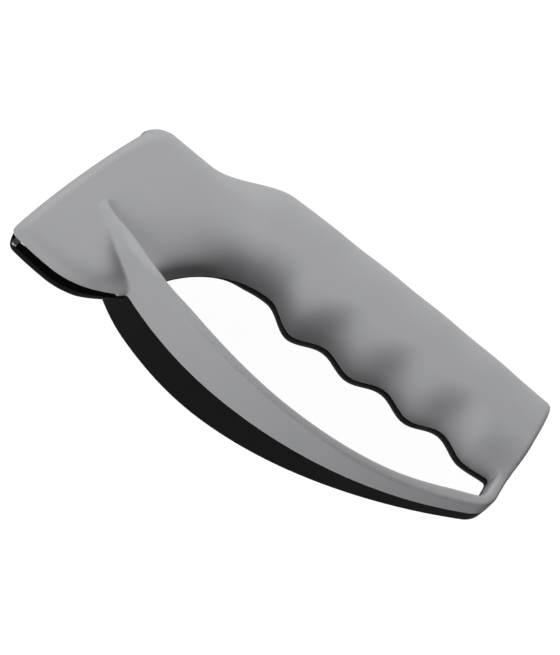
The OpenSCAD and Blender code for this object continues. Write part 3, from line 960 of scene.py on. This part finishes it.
def pan_screw(nodes, given):
    """A self tapping screw that points up, its head's seat at height 0."""
    core = given["Radius"] - given["Thread"]
    foot = 0 - given["Head height"]

    def shank(place, round_it):
        wave = (place / given["Pitch"] - round_it).fraction()
        ridge = (1 - abs(wave - 0.5) * 4).most(0)
        clear = ((place - given["Neck"]) / given["Pitch"]).most(0).least(1)
        slim = ((given["Length"] - place) / given["Tip"]).least(1)
        return (core + given["Thread"] * ridge * clear) * (TIP_SHARE + slim * (1 - TIP_SHARE))

    def dome(place, _):
        return given["Head radius"] * (1 - DOME_FALL * (0 - place / given["Head height"]) ** 4)

    stem = turned(nodes, 110, -SCREW_STUB, given["Length"], shank)
    head = turned(nodes, 14, foot, 0.0, dome)
    arms = []
    for along, across in ((2, DRIVE_ARM), (DRIVE_ARM, 2)):
        size = nodes.joined(given["Drive"] * along, given["Drive"] * across,
                            given["Drive depth"] * 2)
        arm = nodes.node("GeometryNodeMeshCube", {}, {"Size": size})
        arms.append(nodes.node("GeometryNodeTransform", {}, {
            "Geometry": arm, "Translation": nodes.joined(0, 0, foot)}))
    cut = nodes.node("GeometryNodeMeshBoolean", {"operation": "DIFFERENCE", "solver": "EXACT"},
                     {0: head, 1: arms})
    return nodes.node("GeometryNodeJoinGeometry", {}, {0: [cut, stem]})


pin_middles = [(x, y, 0) for x, y in PIN_PLACES]
pins = grown("dowel_pins", pin_middles, dowel_pin, zinc_steel, {
    "Length": 2 * PIN_HALF, "Radius": PIN_R, "Chamfer": PIN_CHAMFER})
piece("dowel_pins", pins, zinc_steel, "holder_pins")
screw_seats = [(x, y, -SEAT_DEPTH) for x, y in SCREW_PLACES]
screws = grown("pan_screws", screw_seats, pan_screw, zinc_steel, {
    "Length": SCREW_LEN, "Radius": SCREW_R, "Thread": THREAD_DEEP, "Pitch": THREAD_PITCH,
    "Neck": SCREW_NECK, "Tip": SCREW_TIP, "Head radius": SCREW_HEAD_R,
    "Head height": SCREW_HEAD_HIGH, "Drive": DRIVE_R, "Drive depth": DRIVE_DEEP})
piece("pan_screws", screws, zinc_steel, "shell_screws")


# Camera, with its angles in degrees and its focal length and shift in pixels of the frame

TILT, ROLL, FOCAL_PIXELS, DISTANCE = 32, 39.2, 2512.5, 697.9
TARGET = Vector((69, 32, 0))
FRAME_HIGH, SENSOR, SHIFT_X, SHIFT_Y = 655, 36, -1, -2.5
tilt, roll = math.radians(TILT), math.radians(ROLL)
away = Vector((0, -math.sin(tilt), math.cos(tilt)))
along_x, along_y = Vector((1, 0, 0)), Vector((0, math.cos(tilt), math.sin(tilt)))
right = math.cos(roll) * along_x + math.sin(roll) * along_y
up = math.cos(roll) * along_y - math.sin(roll) * along_x
lens = bpy.data.cameras.new("camera")
lens.sensor_width = SENSOR
lens.lens = FOCAL_PIXELS * SENSOR / FRAME_HIGH
lens.shift_x, lens.shift_y = SHIFT_X / FRAME_HIGH, SHIFT_Y / FRAME_HIGH
lens.clip_start, lens.clip_end = 0.01, 20
camera = placed("camera", lens)
camera.matrix_world = (Matrix.Translation((TARGET + away * DISTANCE) * MM)
                       @ Matrix((right, up, away)).transposed().to_4x4())
scene.camera = camera


# Lamps and world. Lamp distance and size are in metres

LAMP_DISTANCE, LAMP_SIZE, ROOM_LIGHT = 0.8, 0.35, 0.02
FULL_POWER = math.pi ** 2 * LAMP_DISTANCE ** 2


def lamp(name, azimuth, elevation, share):
    """A soft lamp aimed at the middle of the part. A share of 1 lights white to white."""
    light = bpy.data.lights.new(name, "AREA")
    light.shape, light.size, light.energy = "SQUARE", LAMP_SIZE, share * FULL_POWER
    turn, rise = math.radians(azimuth), math.radians(elevation)
    flat = math.cos(rise)
    towards = Vector((math.cos(turn) * flat, math.sin(turn) * flat, math.sin(rise)))
    placed(name, light).matrix_world = (Matrix.Translation(TARGET * MM + towards * LAMP_DISTANCE)
                                        @ towards.to_track_quat("Z", "Y").to_matrix().to_4x4())


lamp("back", 115, 45, 0.44)
lamp("back_right", 80, 45, 0.32)
lamp("low_back", 90, 8, 0.2)
lamp("nose_side", 150, 25, 0.33)
lamp("front", 240, 25, 0.46)
lamp("low_left", 240, 8, 0.26)
lamp("low_front", 270, 8, 0.26)

WHITE = (1, 1, 1, 1)
world = bpy.data.worlds.new("studio")
world.use_nodes = True
scene.world = world
sky = Nodes(world.node_tree)
seen = sky.node("ShaderNodeLightPath", output="Is Camera Ray")
air = sky.node("ShaderNodeBackground", {}, {
    "Color": WHITE, "Strength": ROOM_LIGHT + seen * (1 - ROOM_LIGHT)})
sky.node("ShaderNodeOutputWorld", {}, {"Surface": air})


# Floor: white to the camera and in reflections, and a matt grey that lights the part little

FLOOR_GREY, FLOOR_GLOW, FLOOR_HALF_SPAN = 0.13, 0.97, 3
floor_paint = bpy.data.materials.new("floor")
floor_paint.use_nodes = True
paint = Nodes(floor_paint.node_tree)
camera_ray, glossy_ray, clear_ray = (
    paint.node("ShaderNodeLightPath", output=ray)
    for ray in ("Is Camera Ray", "Is Glossy Ray", "Is Transmission Ray"))
matt = paint.node("ShaderNodeBsdfDiffuse", {}, {"Color": (FLOOR_GREY,) * 3 + (1,)})
glow = paint.node("ShaderNodeEmission", {}, {"Color": WHITE, "Strength": FLOOR_GLOW})
lit = paint.node("ShaderNodeAddShader", {}, {0: matt, 1: glow})
shown = paint.node("ShaderNodeMixShader", {}, {
    0: (camera_ray + glossy_ray + clear_ray).least(1), 1: matt, 2: lit})
paint.node("ShaderNodeOutputMaterial", {}, {"Surface": shown})
floor_mesh = bpy.data.meshes.new("floor")
span = FLOOR_HALF_SPAN
floor_mesh.from_pydata([(x, y, -GUARD_HALF * MM) for x, y in (
    (-span, -span), (span, -span), (span, span), (-span, span))], [], [(0, 1, 2, 3)])
floor_mesh.materials.append(floor_paint)
floor = placed("floor", floor_mesh)

scene.view_settings.view_transform = "Standard"
